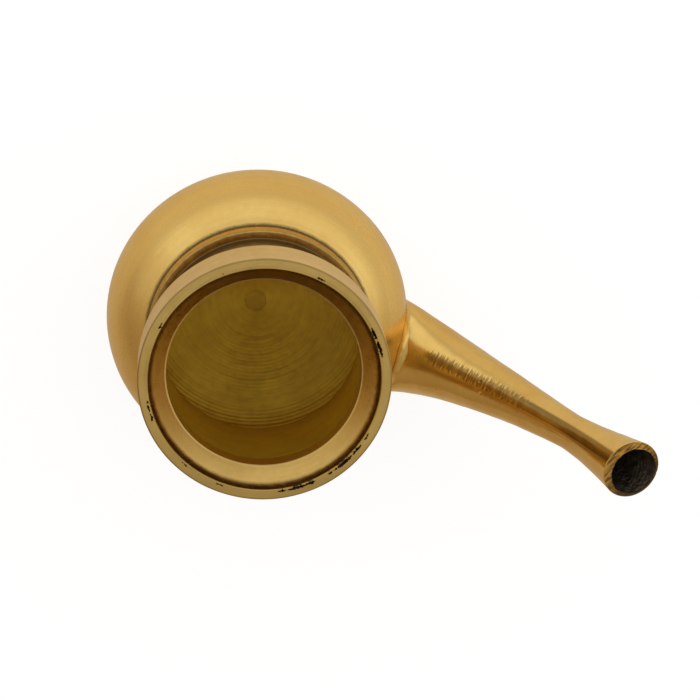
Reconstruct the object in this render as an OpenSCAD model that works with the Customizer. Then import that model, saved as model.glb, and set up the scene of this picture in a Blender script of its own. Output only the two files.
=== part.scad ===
// Spouted brass lota: a squat turned body, a waisted neck with a cylindrical
// rim band, and a long cast spout made of two halves.
// Millimetres. Origin at the centre of the resting face, +Z up, spout along +X.

/* [Body] */
// Widest diameter of the belly
body_d = 100; // [96:0.5:106]
// Height of the belly's widest line above the table
belly_h = 20; // [19:0.5:22]
// Radius of the flat resting face
base_r = 26; // [20:0.5:30]
// Thickness of the body wall at the belly
body_wall = 2; // [1.6:0.1:2.4]
// Thickness of the floor at its centre
floor_t = 2; // [1.6:0.1:2.6]
// Radius of the plug that closes the floor's centre hole
plug_r = 3.6; // [2.5:0.1:5]

/* [Neck and rim] */
// Radius of the neck's foot where it sits on the shoulder
foot_r = 36.5; // [35.5:0.5:38]
// Height of the joint between shoulder and neck
shoulder_z = 39.3; // [38:0.1:41]
// Height of the collar at the neck's foot
collar_h = 5.4; // [4:0.1:7]
// Radius of the neck's waist
waist_r = 32.8; // [32.2:0.1:33.4]
// Outer radius of the rim band
band_r = 39; // [38.5:0.1:41]
// Height of the band's lower edge
band_z = 71.1; // [70:0.1:73]
// Height of the lip
lip_z = 86.2; // [85:0.1:90]
// Inner radius of the lip face
lip_in_r = 35.8; // [35.2:0.1:35.9]
// Radius of the throat
throat_r = 30.2; // [29:0.1:30.4]
// Height of the funnel's lower edge, where the throat begins
throat_z = 78.6; // [78:0.1:80]

/* [Spout] */
// Half width of the spout where its centre line starts, inside the belly
root_w = 18.2; // [17.4:0.1:18.6]
// Half height of the spout at the same place
root_h = 7.9; // [7.6:0.1:8.4]
// Radius of the spout at its narrowest
narrow_r = 5.9; // [5.7:0.1:6.3]
// Radius of the spout at its tip
tip_r = 9.5; // [9:0.1:9.8]
// Wall thickness of the spout at its root
root_wall = 2.2; // [1.9:0.1:2.4]
// Wall thickness of the spout at its tip
tip_wall = 1.8; // [1.6:0.1:2]
// How far the tip's bore lies off centre, away from the pot
bore_offset = 1; // [0:0.1:1.1]
// Reach of the spout's tip from the pot's axis
tip_x = 119; // [117:0.5:121]
// Height of the spout's tip
tip_z = 86.3; // [84.5:0.1:88.5]
// Radius of the hole drilled through the body wall into the spout
wall_hole_r = 8; // [6:0.5:9]

/* [Hidden] */
$fn = 128;

body_r = body_d / 2;
inner_r = body_r - body_wall;
// Half heights of the four quarter ellipses that make the body's outline
low_b = belly_h / sqrt(1 - pow(base_r / body_r, 2));
up_b = (shoulder_z - belly_h) / sqrt(1 - pow(foot_r / body_r, 2));
low_inner_b = belly_h - floor_t;
up_inner_b = up_b - body_wall;
mouth_in_r = inner_r * sqrt(1 - pow((shoulder_z - belly_h) / up_inner_b, 2));
arc_steps = 24;

// The belly joint is a small V groove filled with braze
belly_groove = 0.8;
neck_groove = 0.6;

// Neck outline
ledge_r = foot_r - 2.6;
collar_z = shoulder_z + collar_h;
waist_z = shoulder_z + 15.2;
neck_top_r = band_r - 2.4;
neck_top_z = band_z + 4.9;
neck_wall = 2;

// Rim: a thin sleeve edge, a line of braze, then the band
rim_joint_r = lip_in_r + 0.4;
band_in_r = neck_top_r;
braze_depth = 6;
throat_land = 5.6;
// Where the funnel's rise from the throat turns into its steeper side below the lip
funnel_bend_r = lip_in_r - 0.8;
funnel_bend_z = lip_z - 2.2;

// Spout centre line: one cubic curve in the XZ plane
hole_z = 15.5;
path_0 = [body_r - 4, hole_z];
path_1 = [body_r + 5.6, hole_z - 2.4];
path_2 = [tip_x - 30.7, tip_z - 49.9];
path_3 = [tip_x, tip_z];
narrow_t = 0.827;
taper_power = 1.22;
flare_power = 1.48;
belly_t = 0.1;
clear_t = 0.2;
stations = 36;
half_steps = 14;
seam_w = 0.7;
seam_depth = 0.55;
seam_crown = 0.12;
// Leans the tip's cut away from square, so that the tip faces upwards more
tip_lean = 12.8;
braze_reach = 4.5;
braze_steps = 3;
hollow_steps = 5;
// The top seam's braze starts clear of the root's fillet, at this station
top_seam_start = 6;
// The bottom seam's braze starts this far along from the belly to the second ring
bottom_seam_start = 0.2;
skin_gap = 0.05;

// ---------- body outlines ----------

// Points of a quarter ellipse centred at the belly's height, from angle a0 to a1
function ellipse_arc(a, b, a0, a1) =
    [for (i = [0 : arc_steps])
        let (t = a0 + (a1 - a0) * i / arc_steps)
        [a * cos(t), belly_h + b * sin(t)]];

// X of the belly's outside at a given Y and Z, on the spout's side
function outside_x(y, z) =
    let (b = z < belly_h ? low_b : up_b)
    sqrt(max(0, pow(body_r, 2) * (1 - pow((z - belly_h) / b, 2)) - y * y));

module spout_hole() {
    translate([inner_r - 20, 0, hole_z])
        rotate([0, 90, 0])
            cylinder(r = wall_hole_r, h = 40);
}

module lower_bowl() {
    base_a = -asin(belly_h / low_b);
    plug_a = -acos(plug_r / inner_r);
    color([0.76, 0.61, 0.34])
    difference() {
        rotate_extrude()
            polygon(concat(
                [[plug_r, 0]],
                ellipse_arc(body_r, low_b, base_a, -asin(belly_groove / low_b)),
                [[body_r - belly_groove, belly_h], [inner_r, belly_h]],
                ellipse_arc(inner_r, low_inner_b, 0, plug_a)));
        spout_hole();
    }
}

module floor_plug() {
    top = belly_h - low_inner_b * sqrt(1 - pow(plug_r / inner_r, 2));
    color([0.62, 0.47, 0.2])
        cylinder(r = plug_r, h = top);
}

module upper_bowl() {
    color([0.8, 0.66, 0.4])
    difference() {
        rotate_extrude()
            polygon(concat(
                [[body_r - belly_groove, belly_h]],
                ellipse_arc(body_r, up_b, asin(belly_groove / up_b),
                            acos(foot_r / body_r)),
                ellipse_arc(inner_r, up_inner_b, acos(mouth_in_r / inner_r), 0)));
        spout_hole();
    }
}

// Ring of braze in the groove round the belly, open where the spout covers it
module belly_braze() {
    low = ellipse_arc(body_r, low_b, -asin(belly_groove / low_b), 0)[0];
    high = ellipse_arc(body_r, up_b, asin(belly_groove / up_b), 0)[0];
    color([0.86, 0.72, 0.45])
    difference() {
        rotate_extrude()
            polygon([[body_r - belly_groove, belly_h], low, [body_r, belly_h], high]);
        spout_hole();
    }
}

// ---------- neck and rim ----------

// Smooth step between two values
function ease(a, b, t) = a + (b - a) * (1 - cos(180 * t)) / 2;

// Outside of the waisted neck from the collar's ledge up to the band
function neck_outside() =
    concat(
        [for (i = [0 : 10])
            let (t = 90 * i / 10)
            [waist_r + (ledge_r - waist_r) * (1 - sin(t)),
             collar_z + (waist_z - collar_z) * (1 - cos(t))]],
        [for (i = [1 : 14])
            let (t = 90 * i / 14)
            [waist_r + (neck_top_r - waist_r) * (1 - cos(t)),
             waist_z + (band_z - waist_z) * sin(t)]]);

function neck_inside() =
    concat(
        [for (i = [0 : 14])
            let (t = 90 * i / 14)
            [waist_r - neck_wall + (neck_top_r - waist_r) * (1 - sin(t)),
             waist_z + (band_z - waist_z) * cos(t)]],
        [for (i = [1 : 8])
            let (t = i / 8)
            [ease(waist_r - neck_wall, mouth_in_r, t),
             waist_z + (shoulder_z - waist_z) * t]]);

module neck() {
    bead = 0.7;
    color([0.66, 0.5, 0.24])
    rotate_extrude()
        polygon(concat(
            [[foot_r - neck_groove, shoulder_z],
             [foot_r, shoulder_z + neck_groove],
             [foot_r - 0.5, collar_z - bead]],
            [for (i = [0 : 6])
                [foot_r - 0.5 - bead + bead * cos(15 * i),
                 collar_z - bead + bead * sin(15 * i)]],
            neck_outside(),
            [[neck_top_r, neck_top_z], [neck_top_r - neck_wall, neck_top_z]],
            neck_inside()));
}

// Fills the V between the shoulder and the neck's foot
module neck_braze() {
    color([0.5, 0.37, 0.18])
    rotate_extrude()
        polygon([[foot_r - neck_groove, shoulder_z], [foot_r, shoulder_z],
                 [foot_r, shoulder_z + neck_groove]]);
}

module rim_band() {
    edge = 0.5;
    color([0.82, 0.68, 0.4])
    rotate_extrude()
        polygon(concat(
            [[band_in_r, band_z], [band_r - edge, band_z], [band_r, band_z + edge]],
            [for (i = [0 : 5])
                [band_r - edge + edge * cos(18 * i), lip_z - edge + edge * sin(18 * i)]],
            [[band_in_r, lip_z]]));
}

// Inner sleeve: the thin edge at the lip, the funnel and the throat
module rim_sleeve() {
    color([0.55, 0.4, 0.15])
    rotate_extrude()
        polygon([[throat_r, throat_z - throat_land], [neck_top_r - neck_wall - 0.4,
                 throat_z - throat_land], [neck_top_r - neck_wall - 0.4, neck_top_z],
                 [rim_joint_r, neck_top_z], [rim_joint_r, lip_z], [lip_in_r, lip_z],
                 [funnel_bend_r, funnel_bend_z], [throat_r, throat_z]]);
}

module rim_braze() {
    color([0.7, 0.55, 0.3])
    rotate_extrude()
        translate([rim_joint_r, lip_z - braze_depth])
            square([band_in_r - rim_joint_r, braze_depth]);
}

// ---------- spout ----------

function path_at(t) =
    pow(1 - t, 3) * path_0 + 3 * t * pow(1 - t, 2) * path_1
    + 3 * t * t * (1 - t) * path_2 + pow(t, 3) * path_3;

function path_slope(t) =
    let (d = pow(1 - t, 2) * (path_1 - path_0) + 2 * t * (1 - t) * (path_2 - path_1)
             + t * t * (path_3 - path_2))
    atan2(d[1], d[0]);

// Half width of the spout along its length: a taper, a waist and a flared tip
function half_w(t) =
    t < narrow_t
    ? narrow_r + (root_w - narrow_r) * pow(1 - t / narrow_t, taper_power)
    : narrow_r + (tip_r - narrow_r) * pow((t - narrow_t) / (1 - narrow_t), flare_power);

// The root is flatter than it is wide and becomes round by half way
function half_h(t) =
    half_w(t) * (1 - (1 - root_h / root_w) * pow(max(0, 1 - t / 0.5), 1.5));

function wall_at(t) = root_wall + (tip_wall - root_wall) * t;

// Point of the section at t: side is across the spout, up is square to its path
function section_point(t, side, up) =
    let (p = path_at(t), a = path_slope(t),
         lean = tan(tip_lean) * pow(max(0, (t - 0.8) / 0.2), 2))
    [p[0] - up * sin(a) - up * lean * cos(a),
     side,
     p[1] + up * cos(a) - up * lean * sin(a)];

// Moves a root point along X until it lies on the belly, just clear of it
function on_belly(p) = [outside_x(p[1], p[2]) + skin_gap, p[1], p[2]];

// The first ring lies on the belly and the second is the first one clear of it
function t_at(i) = i == 0 ? belly_t : clear_t + (1 - clear_t) * (i - 1) / (stations - 1);

function outer_point(t, a) = section_point(t, half_w(t) * sin(a), half_h(t) * cos(a));

function inner_point(t, a) =
    let (off = bore_offset * pow(max(0, (t - 0.6) / 0.4), 2))
    section_point(t, (half_w(t) - wall_at(t)) * sin(a),
                  (half_h(t) - wall_at(t)) * cos(a) - off);

// One closed ring of a half: seam corner, outside, seam corner, inside
function half_ring(t, s) =
    let (w = half_w(t), h = half_h(t), e = asin(seam_w / w))
    concat(
        [section_point(t, 0, h - seam_depth)],
        [for (i = [0 : half_steps]) outer_point(t, s * (e + (180 - 2 * e) * i / half_steps))],
        [section_point(t, 0, -h + seam_depth)],
        [for (i = [half_steps : -1 : 0]) inner_point(t, s * 180 * i / half_steps)]);

function seam_ring(t, d) =
    let (w = half_w(t), h = half_h(t), e = asin(seam_w / w))
    [section_point(t, 0, d * (h - seam_depth)),
     section_point(t, seam_w, d * h * cos(e)),
     section_point(t, 0, d * (h + seam_crown)),
     section_point(t, -seam_w, d * h * cos(e))];

// Skins a list of rings of equal length and closes both ends.
// cap gives the faces that close the first ring; the last uses the same, reversed.
module skin(rings, cap, flip) {
    n = len(rings[0]);
    m = len(rings);
    sides = [for (i = [0 : m - 2], j = [0 : n - 1])
        let (a = i * n + j, b = i * n + (j + 1) % n, c = a + n, d = b + n)
        each [[a, b, d], [a, d, c]]];
    ends = concat(
        [for (f = cap) [f[2], f[1], f[0]]],
        [for (f = cap) [for (k = f) k + (m - 1) * n]]);
    faces = concat(sides, ends);
    polyhedron(
        points = [for (r = rings) each r],
        faces = flip ? [for (f = faces) [f[2], f[1], f[0]]] : faces,
        convexity = 10);
}

// Triangles across the wall of a half ring, between its outside and its inside
function wall_cap() =
    let (n = 2 * half_steps + 4, q = half_steps)
    concat(
        [[0, 1, n - 1], [q + 1, q + 2, q + 3]],
        [for (i = [0 : q - 1])
            let (a = 1 + i, b = 2 + i, c = n - 2 - i, d = n - 1 - i)
            each [[a, b, c], [a, c, d]]]);

module spout_half(s) {
    first = [for (p = half_ring(t_at(0), s)) on_belly(p)];
    rings = concat([first], [for (i = [1 : stations]) half_ring(t_at(i), s)]);
    skin(rings, wall_cap(), s < 0);
}

module spout_left() {
    color([0.78, 0.62, 0.33]) spout_half(1);
}

module spout_right() {
    color([0.74, 0.58, 0.3]) spout_half(-1);
}

module spout_seam(d) {
    next = seam_ring(t_at(1), d);
    root = [for (p = seam_ring(t_at(0), d)) on_belly(p)];
    first = root + (next - root) * bottom_seam_start;
    rings = concat(
        d < 0 ? [first] : [],
        [for (i = [d < 0 ? 1 : top_seam_start : stations]) seam_ring(t_at(i), d)]);
    skin(rings, [[0, 1, 2], [0, 2, 3]], d > 0);
}

module spout_seam_top() {
    color([0.5, 0.36, 0.14]) spout_seam(1);
}

module spout_seam_bottom() {
    color([0.5, 0.36, 0.14]) spout_seam(-1);
}

// The braze reaches further up the belly than down, where the table is close
function reach_at(a) = braze_reach * (0.75 + 0.25 * cos(a));

// Point at distance d along a line of points
function walk(line, d, i = 0) =
    let (l = norm(line[i + 1] - line[i]))
    d <= l || i == len(line) - 2
    ? line[i] + (line[i + 1] - line[i]) * d / l
    : walk(line, d - l, i + 1);

// Closed outline of the fillet at one angle round the root: along the spout,
// then a hollow curve down to the belly
function braze_ring(a) =
    let (w = half_w(belly_t), h = half_h(belly_t), r = reach_at(a),
         corner = on_belly(outer_point(belly_t, a)),
         line = concat([corner], [for (i = [1 : 8]) outer_point(t_at(i), a)]),
         along = [for (i = [1 : braze_steps]) walk(line, r * i / braze_steps)],
         end = on_belly(section_point(belly_t, (w + r) * sin(a), (h + r) * cos(a))),
         last = along[braze_steps - 1],
         mid = 0.5 * corner + 0.25 * (end + last))
    concat([corner], along,
           [for (i = [1 : hollow_steps - 1])
               let (t = i / hollow_steps)
               (1 - t) * (1 - t) * last + 2 * t * (1 - t) * mid + t * t * end],
           [end]);

module spout_root_braze() {
    e = asin(seam_w / half_w(belly_t));
    turn = [for (i = [0 : half_steps]) e + (180 - 2 * e) * i / half_steps];
    angles = concat(turn, [for (a = turn) a + 180]);
    rings = [for (a = angles) braze_ring(a)];
    n = len(rings[0]);
    m = len(rings);
    color([0.84, 0.7, 0.43])
    polyhedron(
        points = [for (r = rings) each r],
        faces = [for (i = [0 : m - 1], j = [0 : n - 1])
            let (a = i * n + j, b = i * n + (j + 1) % n,
                 c = ((i + 1) % m) * n + j, d = ((i + 1) % m) * n + (j + 1) % n)
            each [[a, b, d], [a, d, c]]],
        convexity = 10);
}

lower_bowl();
floor_plug();
upper_bowl();
belly_braze();
neck();
neck_braze();
rim_band();
rim_sleeve();
rim_braze();
spout_left();
spout_right();
spout_seam_top();
spout_seam_bottom();
spout_root_braze();
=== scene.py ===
import math

import bpy
import numpy as np
from mathutils import Matrix, Vector, noise


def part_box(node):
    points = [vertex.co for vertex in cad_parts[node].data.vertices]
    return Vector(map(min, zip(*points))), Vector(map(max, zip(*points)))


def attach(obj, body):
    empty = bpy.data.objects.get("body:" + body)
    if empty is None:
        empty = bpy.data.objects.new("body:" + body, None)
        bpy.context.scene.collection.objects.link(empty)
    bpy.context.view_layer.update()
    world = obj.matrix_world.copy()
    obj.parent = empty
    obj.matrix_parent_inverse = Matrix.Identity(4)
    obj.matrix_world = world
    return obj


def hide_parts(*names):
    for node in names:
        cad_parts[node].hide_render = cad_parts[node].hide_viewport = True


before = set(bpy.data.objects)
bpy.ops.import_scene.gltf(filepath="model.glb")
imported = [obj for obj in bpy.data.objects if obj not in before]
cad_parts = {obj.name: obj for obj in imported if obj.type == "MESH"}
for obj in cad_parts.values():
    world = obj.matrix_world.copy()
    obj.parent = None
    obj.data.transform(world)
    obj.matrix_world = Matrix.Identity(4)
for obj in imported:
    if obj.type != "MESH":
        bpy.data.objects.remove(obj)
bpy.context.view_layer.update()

# Lengths in this script are millimetres. They become metres when a mesh is made.
MM = 0.001


def extent(node, corner, axis):
    """One coordinate of a CAD node's box, in millimetres, to the nearest 0.05."""
    return round(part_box(node)[corner][axis] / MM * 20) / 20


# ---------- sizes: read from the frame where its boxes hold them ----------

BODY_R = extent("upper_bowl", 1, 1)
BELLY_Z = extent("upper_bowl", 0, 2)
SHOULDER_Z = extent("upper_bowl", 1, 2)
PLUG_R = extent("floor_plug", 1, 1)
FOOT_R = extent("neck_braze", 1, 1)
BAND_R = extent("rim_band", 1, 1)
BAND_Z = extent("rim_band", 0, 2)
LIP_Z = extent("rim_band", 1, 2)
NECK_TOP_Z = extent("neck", 1, 2)
SLEEVE_OUT_R = extent("rim_sleeve", 1, 1)
BAND_IN_R = extent("rim_braze", 1, 1)
SLEEVE_Z = extent("rim_sleeve", 0, 2)
BRAZE_Z = extent("rim_braze", 0, 2)

# The rest repeats the part's own design values
BASE_R = 26.0
BODY_WALL = 2.0
FLOOR_T = 2.0
INNER_R = BODY_R - BODY_WALL
BELLY_GROOVE = 0.8
NECK_GROOVE = 0.6
COLLAR_Z = SHOULDER_Z + 5.4
LEDGE_R = FOOT_R - 2.6
WAIST_R = 32.8
WAIST_Z = SHOULDER_Z + 15.2
NECK_WALL = 2.0
LIP_IN_R = 35.8
THROAT_R = 30.2
THROAT_Z = 78.6
FUNNEL_BEND = (LIP_IN_R - 0.8, LIP_Z - 2.2)
HOLE_R = 8.0
HOLE_Z = 15.5

LOW_B = BELLY_Z / math.sqrt(1 - (BASE_R / BODY_R) ** 2)
UP_B = (SHOULDER_Z - BELLY_Z) / math.sqrt(1 - (FOOT_R / BODY_R) ** 2)
LOW_INNER_B = BELLY_Z - FLOOR_T
UP_INNER_B = UP_B - BODY_WALL
MOUTH_R = INNER_R * math.sqrt(1 - ((SHOULDER_Z - BELLY_Z) / UP_INNER_B) ** 2)

# Spout: control points of its centre line in the XZ plane, and its section
TIP_X, TIP_Z = 119.0, 86.3
PATH = np.array([(BODY_R - 4, HOLE_Z), (BODY_R + 5.6, HOLE_Z - 2.4),
                 (TIP_X - 30.7, TIP_Z - 49.9), (TIP_X, TIP_Z)])
ROOT_W, ROOT_H = 18.2, 7.9
NARROW_R, NARROW_T = 5.9, 0.827
TIP_R = 9.5
TAPER_POWER, FLARE_POWER = 1.22, 1.48
ROOT_WALL, TIP_WALL = 2.2, 1.8
BORE_OFFSET = 1.0
TIP_LEAN = math.tan(math.radians(12.8))
BELLY_T, CLEAR_T = 0.1, 0.2
SEAM_W, SEAM_DEPTH = 0.7, 0.55

# For the looks only: how far the bore lies to one side at the tip, how far the braze
# reaches out from the spout's root, and how much wider the root is at the belly
BORE_SIDE = 0.55
SHOWN_REACH = 2.3
ROOT_FLARE = 1.0
# Gap between the spout's root and the belly
SKIN_GAP = 0.05


# ---------- node helpers ----------

class Tree:
    """Short calls for building a node tree."""

    def __init__(self, tree):
        self.tree = tree

    def add(self, kind, inputs=None, **settings):
        node = self.tree.nodes.new("ShaderNode" + kind)
        for key, value in settings.items():
            setattr(node, key, value)
        for key, value in (inputs or {}).items():
            if isinstance(value, bpy.types.NodeSocket):
                self.tree.links.new(value, node.inputs[key])
            else:
                node.inputs[key].default_value = value
        return node

    def math(self, operation, a, b=0.0, clamp=False):
        return self.add("Math", {0: a, 1: b}, operation=operation, use_clamp=clamp).outputs[0]

    def remap(self, value, low, high, out_low=0.0, out_high=1.0):
        """Linear map of value from low..high to out_low..out_high, clamped."""
        return self.add("MapRange", {"Value": value, "From Min": low, "From Max": high,
                                     "To Min": out_low, "To Max": out_high}).outputs[0]

    def noise(self, vector, scale, detail=2.0, roughness=0.5):
        return self.add("TexNoise", {"Vector": vector, "Scale": scale, "Detail": detail,
                                     "Roughness": roughness}).outputs["Fac"]

    def mix(self, factor, a, b):
        node = self.add("Mix", {"Factor": factor}, data_type="RGBA")
        for socket, value in ((node.inputs[6], a), (node.inputs[7], b)):
            if isinstance(value, bpy.types.NodeSocket):
                self.tree.links.new(value, socket)
            else:
                socket.default_value = (*value, 1)
        return node.outputs[2]


# ---------- camera, floor and light ----------

# Light of the tent by the height of the direction (0 at the horizon, 1 overhead)
SKY_LIT = [(0.0, (0.56, 0.55, 0.52)), (0.12, (0.58, 0.57, 0.54)), (0.3, (0.88, 0.9, 0.92)),
           (0.56, (0.88, 0.9, 0.92)), (0.78, (0.47, 0.47, 0.47)), (1.0, (0.46, 0.46, 0.46))]
SKY_DIM = [(0.0, (0.3, 0.215, 0.14)), (0.35, (0.36, 0.29, 0.21)), (0.8, (0.36, 0.33, 0.28)),
           (1.0, (0.46, 0.46, 0.46))]


def make_camera():
    """The photograph's view: almost straight down the mouth, from far away."""
    place = Vector((-83.1, 211.3, 735.7)) * MM
    right = Vector((0.9600, 0.2696, 0.0751)).normalized()
    ahead = Vector((0.1538, -0.2843, -0.9463)).normalized()
    up = right.cross(ahead)
    data = bpy.data.cameras.new("camera")
    data.sensor_width = 36
    data.lens = 115.7
    data.clip_start = 0.01
    camera = bpy.data.objects.new("camera", data)
    turn = Matrix((right, up, -ahead)).transposed()
    camera.matrix_world = Matrix.Translation(place) @ turn.to_4x4()
    bpy.context.collection.objects.link(camera)
    bpy.context.scene.camera = camera


# Distance from the centre of the stage to its sides, in metres
STAGE_HALF = 6.0


def sheet(name, height, wall=False):
    """A flat square sheet, or four walls that stand on its sides."""
    mesh = bpy.data.meshes.new(name)
    half = STAGE_HALF
    corners = [(-half, -half), (half, -half), (half, half), (-half, half)]
    points = [(x, y, height) for x, y in corners]
    faces = [(0, 1, 2, 3)]
    if wall:
        points += [(x, y, height + half) for x, y in corners]
        faces = [(i, (i + 1) % 4, 4 + (i + 1) % 4, 4 + i) for i in range(4)]
    mesh.from_pydata(points, [], faces)
    piece = bpy.data.objects.new(name, mesh)
    bpy.context.collection.objects.link(piece)
    paper = bpy.data.materials.new(name + "_paper")
    paper.use_nodes = True
    mesh.materials.append(paper)
    return piece, Tree(paper.node_tree)


def make_floor():
    """The white paper and far walls that the camera sees, and below the paper the greyer
    table that the brass reflects, dim and warm on the side away from the light."""
    floor, floor_tree = sheet("floor", 0)
    floor.visible_glossy = False
    walls, walls_tree = sheet("backdrop", 0, wall=True)
    walls.visible_glossy = False
    walls.visible_diffuse = False
    walls.visible_shadow = False
    for t, glow in ((floor_tree, 0.84), (walls_tree, 1.0)):
        shader = t.tree.nodes["Principled BSDF"]
        shader.inputs["Base Color"].default_value = (0.34, 0.34, 0.34, 1)
        shader.inputs["Roughness"].default_value = 0.9
        shader.inputs["Specular IOR Level"].default_value = 0.1
        shader.inputs["Emission Color"].default_value = (1, 1, 1, 1)
        shader.inputs["Emission Strength"].default_value = glow

    table, t = sheet("table", -0.0005)
    table.visible_camera = False
    table.visible_diffuse = False
    table.visible_shadow = False
    shader = t.tree.nodes["Principled BSDF"]
    place = t.add("SeparateXYZ", {0: t.add("TexCoord").outputs["Object"]})
    near = t.remap(place.outputs["Y"], -0.12, 0.08)
    glow = t.mix(near, (0.19, 0.125, 0.07), (0.45, 0.42, 0.37))
    t.tree.links.new(glow, shader.inputs["Emission Color"])
    shader.inputs["Emission Strength"].default_value = 1.0
    shader.inputs["Base Color"].default_value = (0.2, 0.19, 0.18, 1)
    shader.inputs["Roughness"].default_value = 0.9


def make_sky():
    """A light tent: a bright band low down on the +Y side, where the windows are, dimmer
    overhead, and dim and warm on the -Y side."""
    world = bpy.data.worlds.new("tent")
    bpy.context.scene.world = world
    world.use_nodes = True
    t = Tree(world.node_tree)
    t.tree.nodes.clear()
    way = t.add("SeparateXYZ", {0: t.add("TexCoord").outputs["Generated"]}).outputs
    sides = []
    for stops in (SKY_LIT, SKY_DIM):
        ramp = t.add("ValToRGB", {0: way["Z"]})
        elements = ramp.color_ramp.elements
        elements[0].position, elements[0].color = stops[0][0], (*stops[0][1], 1)
        elements[1].position, elements[1].color = stops[-1][0], (*stops[-1][1], 1)
        for position, colour in stops[1:-1]:
            elements.new(position).color = (*colour, 1)
        sides.append(ramp.outputs["Color"])
    lit = t.remap(way["Y"], -0.5, 0.3)
    back = t.add("Background", {"Color": t.mix(lit, sides[1], sides[0])})
    out = t.add("OutputWorld")
    t.tree.links.new(back.outputs[0], out.inputs["Surface"])


# ---------- brass ----------

BRIGHT = (0.93, 0.62, 0.19)
DEEP = (0.82, 0.47, 0.105)
TARNISH = (0.5, 0.27, 0.06)
WORN = (0.62, 0.42, 0.11)
OLIVE = (0.86, 0.55, 0.035)
DARK_OLIVE = (0.6, 0.36, 0.022)
# Brown of the strip of file strokes, dark partly as a painted reflection of the shaded neck
STROKE_AND_REFLECTION_BROWN = (0.22, 0.12, 0.035)
# Near black and a lighter grey-brown: the bore's painted shade inside the spout; the near black is
# also the joints' own dark colour
BORE_SHADE_AND_JOINT_DARK = (0.09, 0.07, 0.05)
LIGHTER_BORE_SHADE = (0.3, 0.25, 0.18)
# Dark brown for grime, the joints and the tip's file marks, and for painted shade in creases, under
# the rim, in the funnel and on the sides away from the light
GRIME_AND_SHADE = (0.13, 0.08, 0.035)

# Way of the file marks on the tip, as a turn about Z, and the way in which the painted shade on the
# tip's side away from the light increases
FILE_ANGLE = math.radians(-52)
TIP_SHADE_WAY = (0.75, -0.66, 0.0)


def axis_distances(t, place):
    """Distance from the pot's axis, and coordinates that stay nearly the same round it,
    so that noise looked up by them makes rings."""
    x, y, z = t.add("SeparateXYZ", {0: place}).outputs
    radius = t.math("SQRT", t.math("ADD", t.math("MULTIPLY", x, x), t.math("MULTIPLY", y, y)))
    side = t.math("ADD", t.math("DIVIDE", x, t.math("ADD", radius, 0.0005)),
                  t.math("MULTIPLY", t.math("DIVIDE", y, t.math("ADD", radius, 0.0005)), 1.7))
    circle = t.add("CombineXYZ", {0: radius, 1: z, 2: t.math("MULTIPLY", side, 0.0012)}).outputs[0]
    return {"r": radius, "y": y, "z": z}, circle


def add_shade_and_grime(t, shade, distances, mottle, shade_and_grime):
    """Darkens the colour where each entry says, mostly as painted shade, in places with grime."""
    for axis, full, none, share in shade_and_grime:
        if isinstance(axis, tuple):
            across = t.math("SUBTRACT", distances["r"], axis[0] * MM)
            up = t.math("SUBTRACT", distances["z"], axis[1] * MM)
            where = t.math("SQRT", t.math("ADD", t.math("MULTIPLY", across, across),
                                          t.math("MULTIPLY", up, up)))
        else:
            where = distances[axis]
        wander = t.math("MULTIPLY", t.math("SUBTRACT", mottle, 0.5), (none - full) * MM)
        mask = t.remap(t.math("ADD", where, wander), none * MM, full * MM, 0.0, share)
        shade = t.mix(mask, shade, GRIME_AND_SHADE)
    return shade


def add_file_marks(t, shade, place, stripes):
    """Dark streaks along the way the tip was filed."""
    turned = t.add("VectorRotate", {"Vector": place, "Angle": FILE_ANGLE},
                   rotation_type="Z_AXIS").outputs[0]
    drawn = t.add("VectorMath", {0: turned, 1: (0.12, 1.0, 0.3)},
                  operation="MULTIPLY").outputs[0]
    marks = t.noise(drawn, 1500.0, 3.0, 0.6)
    return t.mix(t.remap(marks, 0.44, 0.6, 0.0, stripes), shade, GRIME_AND_SHADE)


def add_strokes_and_reflection(t, shade, strokes_and_reflection):
    """Darkens the strip of file strokes by the value stored in the mesh: partly the strokes' own
    colour, partly a painted reflection of the shaded neck.
    """
    strip = t.add("Attribute", attribute_name="strokes_and_reflection").outputs["Fac"]
    return t.mix(t.math("MULTIPLY", strip, strokes_and_reflection), shade, STROKE_AND_REFLECTION_BROWN)


def add_tip_shade(t, shade, place, tip_shade):
    """Painted shade on the tip's side away from the light, growing along the set way."""
    along = t.add("VectorMath", {0: place, 1: TIP_SHADE_WAY}, operation="DOT_PRODUCT")
    shade_start, shade_full = tip_shade
    mask = t.remap(along.outputs["Value"], shade_start * MM, shade_full * MM, 0.0, 0.9)
    return t.mix(mask, shade, GRIME_AND_SHADE)


def relief_normal(t, place, circle, ringed, depths):
    """The bumped normal, one bump node for each kind of relief that has a depth."""
    layers = []
    if depths["pits"]:
        cells = t.add("TexVoronoi", {"Vector": place, "Scale": 420.0}, feature="F1").outputs[0]
        keep = t.remap(t.noise(place, 130.0, 1.0), 0.6, 0.7)
        hole = t.math("MULTIPLY", t.remap(cells, 0.28, 0.1), keep)
        layers.append((t.math("MULTIPLY", hole, -1.0), depths["pits"]))
    if depths["grain"]:
        layers.append((t.noise(place, 1500.0, 5.0, 0.7), depths["grain"]))
    if depths["rings"]:
        layers.append((ringed, depths["rings"]))
        layers.append((t.noise(circle, 3200.0, 2.0, 0.5), depths["rings"] * 0.35))
    if depths["along"]:
        stretched = t.add("VectorMath", {0: place, 1: (1.0, 0.12, 1.0)},
                          operation="MULTIPLY").outputs[0]
        layers.append((t.noise(stretched, 1700.0, 3.0, 0.6), depths["along"]))
    normal = None
    for height, depth in layers:
        inputs = {"Height": height, "Strength": 1.0, "Distance": depth * MM}
        if normal is not None:
            inputs["Normal"] = normal
        normal = t.add("Bump", inputs).outputs[0]
    return normal


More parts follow.
